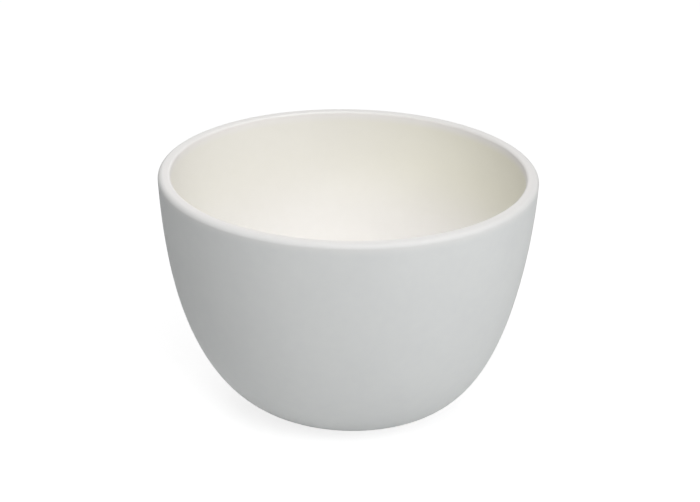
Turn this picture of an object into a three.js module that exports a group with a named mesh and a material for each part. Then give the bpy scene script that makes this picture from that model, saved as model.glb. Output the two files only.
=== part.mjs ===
// A deep stoneware bowl: a fired clay body on a bare foot ring, under three separate glazes.
// Lengths are in millimetres, +Z is up, the bowl stands on z = 0 and the Z axis runs through
// the middle of its rim.
import * as THREE from "three";

// Overall form
const RIM_RADIUS = 75;
const HEIGHT = 97;
const WALL = 4.9; // across the lip, both glazes included
const FLOOR = 5.5; // through the middle of the floor, both glazes included
const RIM_FLARE = THREE.MathUtils.degToRad(3.6); // how far the wall still leans out at the lip
const LIP_OUTER_EASE = 1.9; // radius on the lip's outer edge
const LIP_INNER_EASE = 1; // and on its inner edge, with a flat top between the two

// Foot ring
const FOOT_RADIUS = 33;
const FOOT_WIDTH = 5;
const FOOT_HEIGHT = 1.8;
const FOOT_EASE = 0.5; // radius on its two lower edges

// Underside between the foot ring and the heel, where the belly starts to rise
const TURN_OUT = 2.9; // from the foot ring to the corner that the turn rounds off
const HEEL_OUT = 6; // from the foot ring to the heel
const HEEL_RISE = 1.5;

// Fullness of the two faces, as the distance for which a curve's end keeps its direction
const BELLY_PULL = 30.9;
const SHOULDER_PULL = 25;
const FLOOR_PULL = 38;
const INNER_CORNER = 4; // the inner wall keeps its direction down to this height above the floor

// The foot was set down a little to one side of the rim
const FOOT_SHIFT = 2.2;
const TRUE_ABOVE = 59.5; // from this height up the wall is centred on the rim

// Glazes
const GLAZE = 0.4;
const BARE_EDGE = 0.6; // clay left bare beside the foot ring
const JOINT = 0.02; // gap wherever clay, glaze and foot ring meet

// Facets
const STEPS_ROUND = 48;
const TURN_STEPS = 3;
const BELLY_STEPS = 12;
const LIP_OUTER_STEPS = 4;
const LIP_INNER_STEPS = 3;
const INSIDE_STEPS = 12;
const EASE_STEPS = 2;

const OUTER_GLAZE_FINISH = { color: 0xdcdedc, roughness: 0.5, metalness: 0 };
const LINER_GLAZE_FINISH = { color: 0xefeadd, roughness: 0.4, metalness: 0 };
const STONEWARE_FINISH = { color: 0xd8cbb6, roughness: 0.9, metalness: 0 };

// Profiles are drawn in a half plane, with x as the radius and y as the height.
const at = (radius, height) => new THREE.Vector2(radius, height);
const from = (start, direction, distance) => start.clone().addScaledVector(direction, distance);

const rounded = (centre, radius, start, end) =>
  new THREE.EllipseCurve(centre.x, centre.y, radius, radius, start, end);

const lipOuter = at(RIM_RADIUS - LIP_OUTER_EASE, HEIGHT - LIP_OUTER_EASE); // centres of the lip's two edges
const lipInner = at(RIM_RADIUS - WALL + LIP_INNER_EASE, HEIGHT - LIP_INNER_EASE);
const upWall = at(Math.sin(RIM_FLARE), Math.cos(RIM_FLARE));
const outOfWall = at(Math.cos(RIM_FLARE), -Math.sin(RIM_FLARE));
const underside = FOOT_HEIGHT - GLAZE;
const clayDepth = GLAZE + JOINT;

// The outer face runs from its edge beside the foot ring, round the heel, up the belly and over the lip.
function outerFace() {
  const edge = at(FOOT_RADIUS + BARE_EDGE, underside);
  const turn = at(FOOT_RADIUS + TURN_OUT, underside);
  const heel = at(FOOT_RADIUS + HEEL_OUT, underside + HEEL_RISE);
  const heelSlope = heel.clone().sub(turn).normalize();
  const shoulder = from(lipOuter, outOfWall, LIP_OUTER_EASE);
  const belly = from(heel, heelSlope, BELLY_PULL);
  const underShoulder = from(shoulder, upWall, -SHOULDER_PULL);
  const top = Math.PI / 2;
  const lipEnd = Math.PI - RIM_FLARE - JOINT / LIP_INNER_EASE;
  return [
    { curve: new THREE.QuadraticBezierCurve(edge, turn, heel), steps: TURN_STEPS },
    { curve: new THREE.CubicBezierCurve(heel, belly, underShoulder, shoulder), steps: BELLY_STEPS },
    { curve: rounded(lipOuter, LIP_OUTER_EASE, -RIM_FLARE, top), steps: LIP_OUTER_STEPS },
    { curve: new THREE.LineCurve(at(lipOuter.x, HEIGHT), at(lipInner.x, HEIGHT)), steps: 1 },
    { curve: rounded(lipInner, LIP_INNER_EASE, top, lipEnd), steps: LIP_INNER_STEPS },
  ];
}

// The inner face runs from the middle of the floor up to the seam of the two glazes inside the lip.
function innerFace() {
  const middle = at(0, underside + FLOOR);
  const floor = at(FLOOR_PULL, middle.y);
  const seam = from(lipInner, outOfWall, -LIP_INNER_EASE);
  const wallRun = (seam.y - middle.y - INNER_CORNER) / upWall.y;
  const corner = from(seam, upWall, -wallRun);
  return [{ curve: new THREE.CubicBezierCurve(middle, floor, corner, seam), steps: INSIDE_STEPS }];
}

// Points along a face, moved by a distance to the left of the way it runs.
function pointsAlong(face, toLeft) {
  const points = [];
  for (const { curve, steps } of face) {
    for (let step = points.length ? 1 : 0; step <= steps; step++) {
      const point = curve.getPointAt(step / steps);
      const tangent = curve.getTangentAt(step / steps);
      points.push(at(Math.max(0, point.x - tangent.y * toLeft), point.y + tangent.x * toLeft));
    }
  }
  return points;
}

function clayProfile() {
  const outside = pointsAlong(outerFace(), clayDepth);
  const inside = pointsAlong(innerFace(), -clayDepth).reverse();
  return [at(0, outside[0].y), ...outside, ...inside.slice(1)];
}

function outerGlazeProfile() {
  const shown = pointsAlong(outerFace(), 0);
  const onClay = pointsAlong(outerFace(), GLAZE).reverse();
  return [...shown, ...onClay, shown[0]];
}

function linerGlazeProfile() {
  const onClay = pointsAlong(innerFace(), -GLAZE);
  const shown = pointsAlong(innerFace(), 0).reverse();
  return [...onClay, ...shown];
}

function baseGlazeProfile() {
  const radius = FOOT_RADIUS - FOOT_WIDTH - BARE_EDGE;
  return [at(0, underside), at(radius, underside), at(radius, FOOT_HEIGHT), at(0, FOOT_HEIGHT)];
}

function footProfile() {
  const hollowRadius = FOOT_RADIUS - FOOT_WIDTH;
  const ring = new THREE.Path();
  ring.moveTo(hollowRadius, FOOT_HEIGHT);
  ring.lineTo(hollowRadius, FOOT_EASE);
  ring.absarc(hollowRadius + FOOT_EASE, FOOT_EASE, FOOT_EASE, Math.PI, 1.5 * Math.PI);
  ring.absarc(FOOT_RADIUS - FOOT_EASE, FOOT_EASE, FOOT_EASE, 1.5 * Math.PI, 2 * Math.PI);
  ring.lineTo(FOOT_RADIUS, FOOT_HEIGHT);
  ring.closePath();
  return ring.getPoints(EASE_STEPS);
}

// A piece turned from its profile, with its lower rings moved sideways along with the foot.
function turned(name, profile, finish) {
  const geometry = new THREE.LatheGeometry(profile, STEPS_ROUND).rotateX(Math.PI / 2);
  const position = geometry.getAttribute("position");
  for (let i = 0; i < position.count; i++) {
    const below = Math.max(0, 1 - position.getZ(i) / TRUE_ABOVE);
    position.setX(i, position.getX(i) + FOOT_SHIFT * below ** 2);
  }
  geometry.computeVertexNormals();
  const mesh = new THREE.Mesh(geometry, new THREE.MeshStandardMaterial(finish));
  mesh.name = name;
  return mesh;
}

const bowl = new THREE.Group();
bowl.name = "deep_bowl";
bowl.add(
  turned("clay_body", clayProfile(), STONEWARE_FINISH),
  turned("foot_ring", footProfile(), STONEWARE_FINISH),
  turned("outer_glaze", outerGlazeProfile(), OUTER_GLAZE_FINISH),
  turned("liner_glaze", linerGlazeProfile(), LINER_GLAZE_FINISH),
  turned("base_glaze", baseGlazeProfile(), OUTER_GLAZE_FINISH),
);

export default bowl;
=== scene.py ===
"""A deep stoneware bowl, satin white outside and cream inside, standing on a plain pale floor.

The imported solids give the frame. Each of their five pieces is turned again here from the same
profile, with steps enough to look round, and takes its fired or glazed surface.
"""
import math

import bpy
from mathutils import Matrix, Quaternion, Vector


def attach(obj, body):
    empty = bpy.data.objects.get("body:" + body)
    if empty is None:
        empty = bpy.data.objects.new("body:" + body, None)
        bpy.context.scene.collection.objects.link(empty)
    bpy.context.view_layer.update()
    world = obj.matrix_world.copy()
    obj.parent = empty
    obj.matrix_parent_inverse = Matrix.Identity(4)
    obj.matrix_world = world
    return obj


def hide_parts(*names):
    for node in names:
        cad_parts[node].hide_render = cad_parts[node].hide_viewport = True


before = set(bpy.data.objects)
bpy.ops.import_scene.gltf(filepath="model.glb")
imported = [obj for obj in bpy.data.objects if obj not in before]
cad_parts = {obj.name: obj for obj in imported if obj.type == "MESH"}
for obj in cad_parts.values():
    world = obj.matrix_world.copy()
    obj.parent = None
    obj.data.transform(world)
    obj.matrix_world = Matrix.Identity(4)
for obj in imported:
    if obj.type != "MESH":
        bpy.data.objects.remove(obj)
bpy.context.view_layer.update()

MM = 0.001

# Form of the bowl, with the values of its solids
RIM_RADIUS = 75 * MM
HEIGHT = 97 * MM
WALL = 4.9 * MM  # across the lip, both glazes included
FLOOR = 5.5 * MM  # through the middle of the floor, both glazes included
RIM_FLARE = math.radians(3.6)  # how far the wall still leans out at the lip
LIP_OUTER_EASE = 1.9 * MM  # radius on the lip's outer edge
LIP_INNER_EASE = 1 * MM  # and on its inner edge, with a flat top between the two
FOOT_RADIUS = 33 * MM
FOOT_WIDTH = 5 * MM
FOOT_HEIGHT = 1.8 * MM
FOOT_EASE = 0.5 * MM  # radius on the ring's two lower edges
TURN_OUT = 2.9 * MM  # from the foot ring to the corner that the turn rounds off
HEEL_OUT = 6 * MM  # from the foot ring to the heel, where the belly starts to rise
HEEL_RISE = 1.5 * MM
BELLY_PULL = 30.9 * MM  # how far each end of a curve keeps its direction
SHOULDER_PULL = 25 * MM
FLOOR_PULL = 38 * MM
INNER_CORNER = 4 * MM  # the inner wall keeps its direction down to this height above the floor
FOOT_SHIFT = 2.2 * MM  # the foot was set down a little to one side of the rim
TRUE_ABOVE = 59.5 * MM  # from this height up the wall is centred on the rim
GLAZE = 0.4 * MM
BARE_EDGE = 0.6 * MM  # clay left bare beside the foot ring
JOINT = 0.02 * MM  # gap wherever clay, glaze and foot ring meet

# Steps that make the turned pieces look round
STEPS_ROUND = 240
TURN_STEPS = 8
BELLY_STEPS = 56
EDGE_STEPS = 12
FLAT_STEPS = 4
INSIDE_STEPS = 64
BEAD_STEPS = 6
CORNER = math.radians(40)  # an edge that bends more than this stays crisp
WELD = 0.001 * MM
NO_SEAM = 1.0  # further along than any profile is long

# Camera, as the photograph was taken
IMAGE_WIDTH = 700  # pixels
FOCAL_LENGTH = 2672  # pixels
VIEW_ELEVATION = math.radians(23.4)
VIEW_DISTANCE = 1070 * MM
VIEW_ROLL = math.radians(1.0)
SUBJECT = Vector((0, 0, 49.95 * MM))  # in the bowl, where the camera and the lamps are set out from
AIM_UP = 12.34 * MM  # from there to the middle of the picture
AIM_RIGHT = 1.33 * MM

# Floor and lamps
FLOOR_SIZE = 6.0  # metres
FLOOR_LIT = "#F0F0F0"  # as it lights the bowl from below
FLOOR_SHOWN = "#9A9A9A"  # as it is shown, where a glow makes up what it lacks of white
FLOOR_GLOW = 0.83
LAMPS = [  # name, degrees to the camera's right, degrees up, metres away, metres wide, watts
    ("key", 30, 36, 1.8, 1.3, 12.1),
    ("front", 0, 60, 1.8, 1.3, 13.6),
    ("right", 90, 16, 1.8, 0.9, 5.5),
    ("left", -90, 66, 0.6, 0.3, 0.74),  # close above, so that it lights the inside more than the outside
    ("behind", 180, 16, 1.8, 0.9, 9.0),
]


def linear(code):
    """A linear colour from an sRGB hex code."""
    shares = [int(code[i:i + 2], 16) / 255 for i in (1, 3, 5)]
    return [s / 12.92 if s <= 0.04045 else ((s + 0.055) / 1.055) ** 2.4 for s in shares] + [1.0]


def add(tree, kind, inputs=None, **settings):
    """A node with its settings, each input a value or the socket that feeds it."""
    node = tree.nodes.new(kind)
    for name, value in settings.items():
        setattr(node, name, value)
    for name, value in (inputs or {}).items():
        if isinstance(value, bpy.types.NodeSocket):
            tree.links.new(value, node.inputs[name])
        else:
            node.inputs[name].default_value = value
    return node


# Profiles, drawn in a half plane with x as the radius and y as the height

def bezier(*controls):
    """A Bezier curve, which gives a point and its direction for a share of its run."""
    def at(share):
        points = controls
        while len(points) > 2:
            points = [a.lerp(b, share) for a, b in zip(points, points[1:])]
        return points[0].lerp(points[1], share), (points[1] - points[0]).normalized()
    return at


def arc(centre, radius, start, end):
    """An anticlockwise arc between two angles, which gives points as a Bezier curve does."""
    def at(share):
        angle = start + (end - start) * share
        out = Vector((math.cos(angle), math.sin(angle)))
        return centre + radius * out, Vector((-out.y, out.x))
    return at


LIP_OUTER = Vector((RIM_RADIUS - LIP_OUTER_EASE, HEIGHT - LIP_OUTER_EASE))  # centres of the lip's two edges
LIP_INNER = Vector((RIM_RADIUS - WALL + LIP_INNER_EASE, HEIGHT - LIP_INNER_EASE))
UP_WALL = Vector((math.sin(RIM_FLARE), math.cos(RIM_FLARE)))
OUT_OF_WALL = Vector((math.cos(RIM_FLARE), -math.sin(RIM_FLARE)))
UNDERSIDE = FOOT_HEIGHT - GLAZE
CLAY_DEPTH = GLAZE + JOINT
GLAZE_EDGE = Vector((FOOT_RADIUS + BARE_EDGE, UNDERSIDE))


def outer_face():
    """From the edge beside the foot ring, round the heel, up the belly and over the lip."""
    turn = Vector((FOOT_RADIUS + TURN_OUT, UNDERSIDE))
    heel = Vector((FOOT_RADIUS + HEEL_OUT, UNDERSIDE + HEEL_RISE))
    belly = heel + (heel - turn).normalized() * BELLY_PULL
    shoulder = LIP_OUTER + OUT_OF_WALL * LIP_OUTER_EASE
    under_shoulder = shoulder - UP_WALL * SHOULDER_PULL
    top = math.pi / 2
    flat = Vector((LIP_OUTER.x, HEIGHT)), Vector((LIP_INNER.x, HEIGHT))
    lip_end = math.pi - RIM_FLARE - JOINT / LIP_INNER_EASE
    return [
        (bezier(GLAZE_EDGE, turn, heel), TURN_STEPS),
        (bezier(heel, belly, under_shoulder, shoulder), BELLY_STEPS),
        (arc(LIP_OUTER, LIP_OUTER_EASE, -RIM_FLARE, top), EDGE_STEPS),
        (bezier(*flat), FLAT_STEPS),
        (arc(LIP_INNER, LIP_INNER_EASE, top, lip_end), EDGE_STEPS),
    ]


def inner_face():
    """From the middle of the floor up to the seam of the two glazes inside the lip."""
    middle = Vector((0, UNDERSIDE + FLOOR))
    floor = Vector((FLOOR_PULL, middle.y))
    seam = LIP_INNER - OUT_OF_WALL * LIP_INNER_EASE
    corner = seam - UP_WALL * ((seam.y - middle.y - INNER_CORNER) / UP_WALL.y)
    return [(bezier(middle, floor, corner, seam), INSIDE_STEPS)]


def points_along(face, to_left=0):
    """Points along a face, moved by a distance to the left of the way it runs."""
    points = []
    for curve, steps in face:
        for step in range(1 if points else 0, steps + 1):
            point, direction = curve(step / steps)
            point = point + to_left * Vector((-direction.y, direction.x))
            points.append(Vector((max(0, point.x), point.y)))
    return points


def length_of(points):
    """The length of the line through some points."""
    return sum((b - a).length for a, b in zip(points, points[1:]))


# The wheel, which turns every piece

def wheel_tree():
    """Turns a profile round the Z axis and moves its lower rings sideways along with the foot."""
    tree = bpy.data.node_groups.new("Wheel", "GeometryNodeTree")
    sizes = {
        "Profile": "NodeSocketGeometry",
        "Rim radius": "NodeSocketFloat",
        "Steps round": "NodeSocketInt",
        "Seam at": "NodeSocketFloat",
        "Foot shift": "NodeSocketFloat",
        "True above": "NodeSocketFloat",
        "Surface": "NodeSocketMaterial",
    }
    for name, kind in sizes.items():
        tree.interface.new_socket(name, in_out="INPUT", socket_type=kind)
    tree.interface.new_socket("Piece", in_out="OUTPUT", socket_type="NodeSocketGeometry")
    given = add(tree, "NodeGroupInput").outputs

    # How far along the profile each point lies from the glaze's seam, for its material
    run = add(tree, "GeometryNodeSplineParameter").outputs["Length"]
    past_seam = add(tree, "ShaderNodeMath", {0: run, 1: given["Seam at"]}, operation="SUBTRACT")
    from_seam = add(tree, "ShaderNodeMath", {0: past_seam.outputs[0]}, operation="ABSOLUTE")
    marked = add(tree, "GeometryNodeStoreNamedAttribute", {
        "Geometry": given["Profile"], "Name": "from_seam", "Value": from_seam.outputs[0]})

    # The profile swept round the rim's circle: there its x points out and its y down
    inward = add(tree, "ShaderNodeMath", {0: given["Rim radius"], 1: -1}, operation="MULTIPLY")
    start = add(tree, "ShaderNodeCombineXYZ", {"X": inward.outputs[0]})
    laid = add(tree, "GeometryNodeTransform", {
        "Geometry": marked.outputs[0], "Translation": start.outputs[0], "Rotation": (math.pi, 0, 0)})
    circle = add(tree, "GeometryNodeCurvePrimitiveCircle", {
        "Resolution": given["Steps round"], "Radius": given["Rim radius"]})
    swept = add(tree, "GeometryNodeCurveToMesh", {
        "Curve": circle.outputs["Curve"], "Profile Curve": laid.outputs[0]})
    outward = add(tree, "GeometryNodeFlipFaces", {"Mesh": swept.outputs[0]})
    welded = add(tree, "GeometryNodeMergeByDistance", {"Geometry": outward.outputs[0], "Distance": WELD})

    # Below the true part of the wall, each ring follows the foot
    place = add(tree, "GeometryNodeInputPosition").outputs[0]
    height = add(tree, "ShaderNodeSeparateXYZ", {0: place}).outputs["Z"]
    below = add(tree, "ShaderNodeMapRange", {
        "Value": height, "From Max": given["True above"], "To Min": 1, "To Max": 0})
    share = add(tree, "ShaderNodeMath", {0: below.outputs[0], 1: 2}, operation="POWER")
    shift = add(tree, "ShaderNodeMath", {0: share.outputs[0], 1: given["Foot shift"]}, operation="MULTIPLY")
    aside = add(tree, "ShaderNodeCombineXYZ", {"X": shift.outputs[0]})
    leaning = add(tree, "GeometryNodeSetPosition", {
        "Geometry": welded.outputs[0], "Offset": aside.outputs[0]})

    # Smooth all over, except where the profile has a corner
    bend = add(tree, "GeometryNodeInputMeshEdgeAngle").outputs["Unsigned Angle"]
    gentle = add(tree, "ShaderNodeMath", {0: bend, 1: CORNER}, operation="LESS_THAN")
    smooth = add(tree, "GeometryNodeSetShadeSmooth", {"Geometry": leaning.outputs[0]}, domain="FACE")
    creased = add(tree, "GeometryNodeSetShadeSmooth", {
        "Geometry": smooth.outputs[0], "Shade Smooth": gentle.outputs[0]}, domain="EDGE")
    real = add(tree, "GeometryNodeRealizeInstances", {"Geometry": creased.outputs[0]})
    faced = add(tree, "GeometryNodeSetMaterial", {
        "Geometry": real.outputs[0], "Material": given["Surface"]})
    add(tree, "NodeGroupOutput", {"Piece": faced.outputs[0]})
    return tree


WHEEL = wheel_tree()


def turned(name, node, profile, surface, seam_at=NO_SEAM, closed=False):
    """A piece turned from its profile to a plain mesh, which stands for a node of the solids."""
    line = bpy.data.curves.new(name, "CURVE")
    line.dimensions = "3D"
    spline = line.splines.new("POLY")
    spline.points.add(len(profile) - 1)
    for mark, point in zip(spline.points, profile):
        mark.co = (point.x, point.y, 0, 1)
    spline.use_cyclic_u = closed
    drawn = bpy.data.objects.new(name + "_profile", line)
    bpy.context.scene.collection.objects.link(drawn)
    wheel = drawn.modifiers.new("Wheel", "NODES")
    wheel.node_group = WHEEL
    values = {
        "Rim radius": RIM_RADIUS,
        "Steps round": STEPS_ROUND,
        "Seam at": seam_at,
        "Foot shift": FOOT_SHIFT,
        "True above": TRUE_ABOVE,
        "Surface": surface,
    }
    for socket in WHEEL.interface.items_tree:
        if socket.name in values:
            wheel[socket.identifier] = values[socket.name]
    graph = bpy.context.evaluated_depsgraph_get()
    mesh = bpy.data.meshes.new_from_object(
        drawn.evaluated_get(graph), preserve_all_data_layers=True, depsgraph=graph)
    mesh.name = name
    bpy.data.objects.remove(drawn)
    bpy.data.curves.remove(line)
    piece = bpy.data.objects.new(name, mesh)
    bpy.context.scene.collection.objects.link(piece)
    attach(piece, "root")
    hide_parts(node)


# Materials

WHITE = "#E5E7E6"
WHITE_SHADE = "#E1E3E3"
CREAM = "#F6F4F2"
CREAM_SHADE = "#F3F1EE"
PAINTED_SHADE_CREAM = "#F3F1E3"  # painted warmer hue of the liner where it is in shade and away from its sheen
CLAY = "#D2C4AE"
CLAY_SHADE = "#C4B399"
GROG = "#8C7556"

PAINTED_SHEEN_BELOW = 46 * MM  # heights between which the liner goes from pale, a painted sheen low in the bowl, to the warmer painted shade hue
PAINTED_SHADE_ABOVE = 80 * MM
PAINTED_SHADE_SIDE = -30 * MM  # painted shade on the right inside wall: the warmer hue grows from here to the rim on the right
LEFT_SHADE_SHARE = 0.4  # how much of the painted warmer hue shows left of there
PAINTED_LIP_LIGHT = 4 * MM  # painted light under the lip: from the seam to here the painted shade hue is faded out
PALE_LIP_FULL = 1.5 * MM  # from the seam, where the lip is paler, to where it begins to fade to white: partly the liner under the thin coat, partly painted light from above and painted sheen
PALE_LIP_END = 9.5 * MM  # and to where the paler lip ends

MATT_SHEEN = 0.05  # a matt skin's crystals scatter most of what a smooth one would mirror
HAZE = 9 * MM  # patches with a little more or less gloss
HAZE_SWING = 0.08
PEEL = 1.6 * MM  # dimples that bubbles left as they healed in the melt
PEEL_DEPTH = 0.012 * MM
GROG_SPACING = 1.5 * MM  # grog is fired clay, ground and mixed in
GROG_CORE = 0.12  # a speck's full colour and its edge, as shares of that spacing
GROG_EDGE = 0.22
GROG_SHARE = 0.7
SAND = 0.5 * MM  # grains that the sponge brought out when the foot was wiped
SAND_DEPTH = 0.05 * MM
CLAY_ROUGHNESS = 0.92
NOISE_MEAN = 0.5

MIX_A = 6  # a Mix node's colour sockets
MIX_B = 7
MIX_RESULT = 2


def mottled(tree, place, first, second, drift, cloud):
    """Two close tones of one glaze: slow drifts a few centimetres wide, with finer clouds in them."""
    wide = add(tree, "ShaderNodeTexNoise", {"Vector": place, "Scale": 1 / drift, "Detail": 2})
    fine = add(tree, "ShaderNodeTexNoise", {"Vector": place, "Scale": 1 / cloud, "Detail": 3})
    share = add(tree, "ShaderNodeMath", {0: wide.outputs[0], 1: fine.outputs[0]}, operation="ADD")
    centred = add(tree, "ShaderNodeMath", {0: share.outputs[0], 1: NOISE_MEAN}, operation="SUBTRACT")
    return add(tree, "ShaderNodeMix", {0: centred.outputs[0], MIX_A: linear(first), MIX_B: linear(second)},
               data_type="RGBA").outputs[MIX_RESULT]


def liner_and_painted_light_on_lip(tree, colour):
    """The white coat's colour, paler on the lip: partly the liner that runs over the lip showing through,
    partly painted light from above and painted sheen.
    """
    away = add(tree, "ShaderNodeAttribute", attribute_name="from_seam").outputs["Fac"]
    pale_lip_fade = add(tree, "ShaderNodeMapRange", {
        "Value": away, "From Min": PALE_LIP_FULL, "From Max": PALE_LIP_END}, interpolation_type="SMOOTHSTEP")
    # paler lip: liner showing through, and painted light from above and painted sheen
    return add(tree, "ShaderNodeMix", {0: pale_lip_fade.outputs[0], MIX_A: linear(CREAM), MIX_B: colour},
               data_type="RGBA").outputs[MIX_RESULT]


def painted_shade_and_sheen(tree, place, colour):
    """The liner's colour with painted light: warmer up the wall and to the right for shade, paler low down
    for sheen, and pale just under the lip for light from above.
    """
    away = add(tree, "ShaderNodeAttribute", attribute_name="from_seam").outputs["Fac"]
    at = add(tree, "ShaderNodeSeparateXYZ", {0: place}).outputs
    spans = [  # a measure, where on it the painted warmer hue starts and where it is full, and the share where it starts
        (at["Z"], PAINTED_SHEEN_BELOW, PAINTED_SHADE_ABOVE, 0),
        (away, 0, PAINTED_LIP_LIGHT, 0),
        (at["X"], PAINTED_SHADE_SIDE, RIM_RADIUS, LEFT_SHADE_SHARE),
    ]
    share = 1
    for measure, hue_start, hue_full, least in spans:
        rise = add(tree, "ShaderNodeMapRange", {
            "Value": measure, "From Min": hue_start, "From Max": hue_full, "To Min": least},
            interpolation_type="SMOOTHSTEP")
        share = add(tree, "ShaderNodeMath", {0: share, 1: rise.outputs[0]}, operation="MULTIPLY").outputs[0]
    # painted shade and sheen: the liner is mixed toward its warmer shade hue by that share
    return add(tree, "ShaderNodeMix", {0: share, MIX_A: colour, MIX_B: linear(PAINTED_SHADE_CREAM)},
               data_type="RGBA").outputs[MIX_RESULT]


def glazed(name, roughness, ior):
    """A glaze's skin, with its gloss and dimples: the material, its tree, places on it and its shader."""
    surface = bpy.data.materials.new(name)
    surface.use_nodes = True
    tree = surface.node_tree
    place = add(tree, "ShaderNodeTexCoord").outputs["Object"]
    shader = tree.nodes["Principled BSDF"]
    shader.inputs["IOR"].default_value = ior
    haze = add(tree, "ShaderNodeTexNoise", {"Vector": place, "Scale": 1 / HAZE, "Detail": 2})
    gloss = add(tree, "ShaderNodeMapRange", {
        "Value": haze.outputs[0], "To Min": roughness - HAZE_SWING, "To Max": roughness + HAZE_SWING})
    tree.links.new(gloss.outputs[0], shader.inputs["Roughness"])
    peel = add(tree, "ShaderNodeTexNoise", {"Vector": place, "Scale": 1 / PEEL, "Detail": 2})
    dimple = add(tree, "ShaderNodeBump", {"Height": peel.outputs[0], "Strength": 1, "Distance": PEEL_DEPTH})
    tree.links.new(dimple.outputs[0], shader.inputs["Normal"])
    return surface, tree, place, shader


def white_glaze():
    # Dipped, and cooled slowly so that fine crystals grew in its skin: it looks soft and even, mirrors
    # next to nothing, and its tone drifts a little where the coat ran. On the lip it is thin and the liner
    # under it shows, and the lip is painted paler as well, for light from above and a painted sheen.
    surface, tree, place, shader = glazed("Satin matt white stoneware glaze", roughness=0.85, ior=1.5)
    shader.inputs["Specular IOR Level"].default_value = MATT_SHEEN
    tone = mottled(tree, place, WHITE, WHITE_SHADE, drift=28 * MM, cloud=4 * MM)
    # paler lip: partly the liner under the thin coat, partly painted light from above and painted sheen
    tone = liner_and_painted_light_on_lip(tree, tone)
    tree.links.new(tone, shader.inputs["Base Color"])
    return surface


def cream_glaze():
    # Poured in and out again, and melted smoother than the outside: it has a soft gloss. Its colour is
    # painted nearly white low in the bowl, for the sheen there, and warmer up the wall and to the right,
    # for the shade there.
    surface, tree, place, shader = glazed("Cream liner glaze", roughness=0.46, ior=1.52)
    tone = mottled(tree, place, CREAM, CREAM_SHADE, drift=28 * MM, cloud=4 * MM)
    # painted sheen and shade: paler low down, warmer up the wall and on the right
    tone = painted_shade_and_sheen(tree, place, tone)
    tree.links.new(tone, shader.inputs["Base Color"])
    return surface


def bare_stoneware():
    # Wiped clean of glaze and fired: it looks dry and a little sandy, buff with darker specks of grog.
    surface = bpy.data.materials.new("Bare fired stoneware")
    surface.use_nodes = True
    tree = surface.node_tree
    place = add(tree, "ShaderNodeTexCoord").outputs["Object"]
    shader = tree.nodes["Principled BSDF"]
    tone = mottled(tree, place, CLAY, CLAY_SHADE, drift=20 * MM, cloud=2 * MM)
    cells = add(tree, "ShaderNodeTexVoronoi", {"Vector": place, "Scale": 1 / GROG_SPACING})
    speck = add(tree, "ShaderNodeMapRange", {
        "Value": cells.outputs["Distance"], "From Min": GROG_CORE, "From Max": GROG_EDGE,
        "To Min": GROG_SHARE, "To Max": 0})
    colour = add(tree, "ShaderNodeMix", {0: speck.outputs[0], MIX_A: tone, MIX_B: linear(GROG)},
                 data_type="RGBA").outputs[MIX_RESULT]
    tree.links.new(colour, shader.inputs["Base Color"])
    shader.inputs["Roughness"].default_value = CLAY_ROUGHNESS
    grain = add(tree, "ShaderNodeTexNoise", {"Vector": place, "Scale": 1 / SAND, "Detail": 3})
    rough = add(tree, "ShaderNodeBump", {"Height": grain.outputs[0], "Strength": 1, "Distance": SAND_DEPTH})
    tree.links.new(rough.outputs[0], shader.inputs["Normal"])
    return surface


# Pieces

def clay_body(surface):
    outside = points_along(outer_face(), CLAY_DEPTH)
    inside = points_along(inner_face(), -CLAY_DEPTH)[::-1]
    middle = Vector((0, outside[0].y))
    turned("fired_clay", "clay_body", [middle] + outside + inside[1:], surface)


def foot_ring(surface):
    hollow = FOOT_RADIUS - FOOT_WIDTH
    eases = [
        (Vector((hollow + FOOT_EASE, FOOT_EASE)), math.pi),
        (Vector((FOOT_RADIUS - FOOT_EASE, FOOT_EASE)), 1.5 * math.pi),
    ]
    profile = [Vector((FOOT_RADIUS, FOOT_HEIGHT)), Vector((hollow, FOOT_HEIGHT))]
    for centre, start in eases:
        profile += points_along([(arc(centre, FOOT_EASE, start, start + math.pi / 2), BEAD_STEPS)])
    turned("standing_ring", "foot_ring", profile, surface, closed=True)


def outer_glaze(surface):
    shown = points_along(outer_face())
    on_clay = points_along(outer_face(), GLAZE)[::-1]
    bead_centre = GLAZE_EDGE + Vector((0, GLAZE / 2))
    bead = points_along([(arc(bead_centre, GLAZE / 2, math.pi / 2, 1.5 * math.pi), BEAD_STEPS)])
    turned("white_coat", "outer_glaze", shown + on_clay + bead[1:-1], surface,
           seam_at=length_of(shown), closed=True)


def liner_glaze(surface):
    on_clay = points_along(inner_face(), -GLAZE)
    shown = points_along(inner_face())[::-1]
    turned("cream_liner", "liner_glaze", on_clay + shown, surface,
           seam_at=length_of(on_clay + shown[:1]))


def base_glaze(surface):
    radius = FOOT_RADIUS - FOOT_WIDTH - BARE_EDGE
    bead_centre = Vector((radius - GLAZE / 2, UNDERSIDE + GLAZE / 2))
    bead = points_along([(arc(bead_centre, GLAZE / 2, -math.pi / 2, math.pi / 2), BEAD_STEPS)])
    profile = [Vector((0, UNDERSIDE))] + bead + [Vector((0, FOOT_HEIGHT))]
    turned("base_coat", "base_glaze", profile, surface)


white = white_glaze()
stoneware = bare_stoneware()
clay_body(stoneware)
foot_ring(stoneware)
outer_glaze(white)
liner_glaze(cream_glaze())
base_glaze(white)


# Camera

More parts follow.
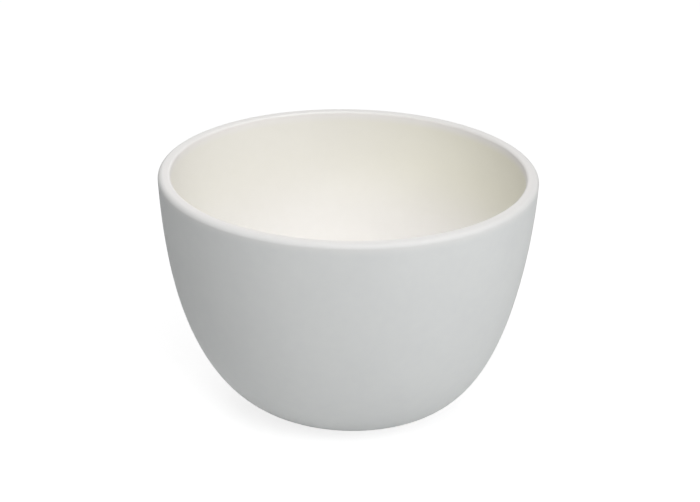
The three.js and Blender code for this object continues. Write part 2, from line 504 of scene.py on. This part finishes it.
def camera():
    """The photograph's view: turned about the line of sight, and aimed a little above the bowl's middle."""
    back = Vector((0, -math.cos(VIEW_ELEVATION), math.sin(VIEW_ELEVATION)))
    roll = Quaternion(back, VIEW_ROLL)
    right = roll @ Vector((1, 0, 0))
    up = back.cross(right)
    place = SUBJECT + VIEW_DISTANCE * back
    aim = SUBJECT + AIM_UP * up + AIM_RIGHT * right
    lens = bpy.data.cameras.new("Camera")
    lens.lens = FOCAL_LENGTH / IMAGE_WIDTH * lens.sensor_width
    eye = bpy.data.objects.new("Camera", lens)
    eye.location = place
    eye.rotation_mode = "QUATERNION"
    eye.rotation_quaternion = (aim - place).to_track_quat("-Z", "Y") @ Quaternion((0, 0, 1), VIEW_ROLL)
    bpy.context.scene.collection.objects.link(eye)
    bpy.context.scene.camera = eye


camera()


# Floor, room and lamps

def shown(tree):
    """1 for rays that show the floor or the room to the camera, straight or in a reflection."""
    path = add(tree, "ShaderNodeLightPath").outputs
    either = add(tree, "ShaderNodeMath", {0: path["Is Camera Ray"], 1: path["Is Glossy Ray"]},
                 operation="MAXIMUM")
    any_of_them = add(tree, "ShaderNodeMath", {0: either.outputs[0], 1: path["Is Transmission Ray"]},
                      operation="MAXIMUM")
    return any_of_them.outputs[0]


def floor():
    half = FLOOR_SIZE / 2
    corners = [(-half, -half, 0), (half, -half, 0), (half, half, 0), (-half, half, 0)]
    mesh = bpy.data.meshes.new("floor")
    mesh.from_pydata(corners, [], [(0, 1, 2, 3)])
    surface = bpy.data.materials.new("White floor")
    surface.use_nodes = True
    tree = surface.node_tree
    tree.nodes.remove(tree.nodes["Principled BSDF"])
    lit = add(tree, "ShaderNodeBsdfDiffuse", {"Color": linear(FLOOR_LIT)})
    shaded = add(tree, "ShaderNodeBsdfDiffuse", {"Color": linear(FLOOR_SHOWN)})
    glow = add(tree, "ShaderNodeEmission", {"Strength": FLOOR_GLOW})
    seen = add(tree, "ShaderNodeAddShader", {0: shaded.outputs[0], 1: glow.outputs[0]})
    both = add(tree, "ShaderNodeMixShader", {0: shown(tree), 1: lit.outputs[0], 2: seen.outputs[0]})
    tree.links.new(both.outputs[0], tree.nodes["Material Output"].inputs["Surface"])
    mesh.materials.append(surface)
    ground = bpy.data.objects.new("floor", mesh)
    bpy.context.scene.collection.objects.link(ground)


def room():
    """White where it is shown, and otherwise dark, so that only the lamps light the bowl."""
    world = bpy.data.worlds.new("White room")
    world.use_nodes = True
    tree = world.node_tree
    walls = tree.nodes["Background"]
    walls.inputs["Color"].default_value = (1, 1, 1, 1)
    tree.links.new(shown(tree), walls.inputs["Strength"])
    bpy.context.scene.world = world


def lamps():
    for name, degrees_round, degrees_up, away, wide, watts in LAMPS:
        a, e = math.radians(degrees_round), math.radians(degrees_up)
        out = Vector((math.sin(a) * math.cos(e), -math.cos(a) * math.cos(e), math.sin(e)))
        light = bpy.data.lights.new(name, "AREA")
        light.shape = "DISK"
        light.size = wide
        light.energy = watts
        lamp = bpy.data.objects.new(name, light)
        lamp.location = SUBJECT + away * out
        lamp.rotation_euler = (-out).to_track_quat("-Z", "Y").to_euler()
        lamp.visible_camera = False
        bpy.context.scene.collection.objects.link(lamp)


floor()
room()
lamps()
bpy.context.scene.view_settings.view_transform = "Standard"
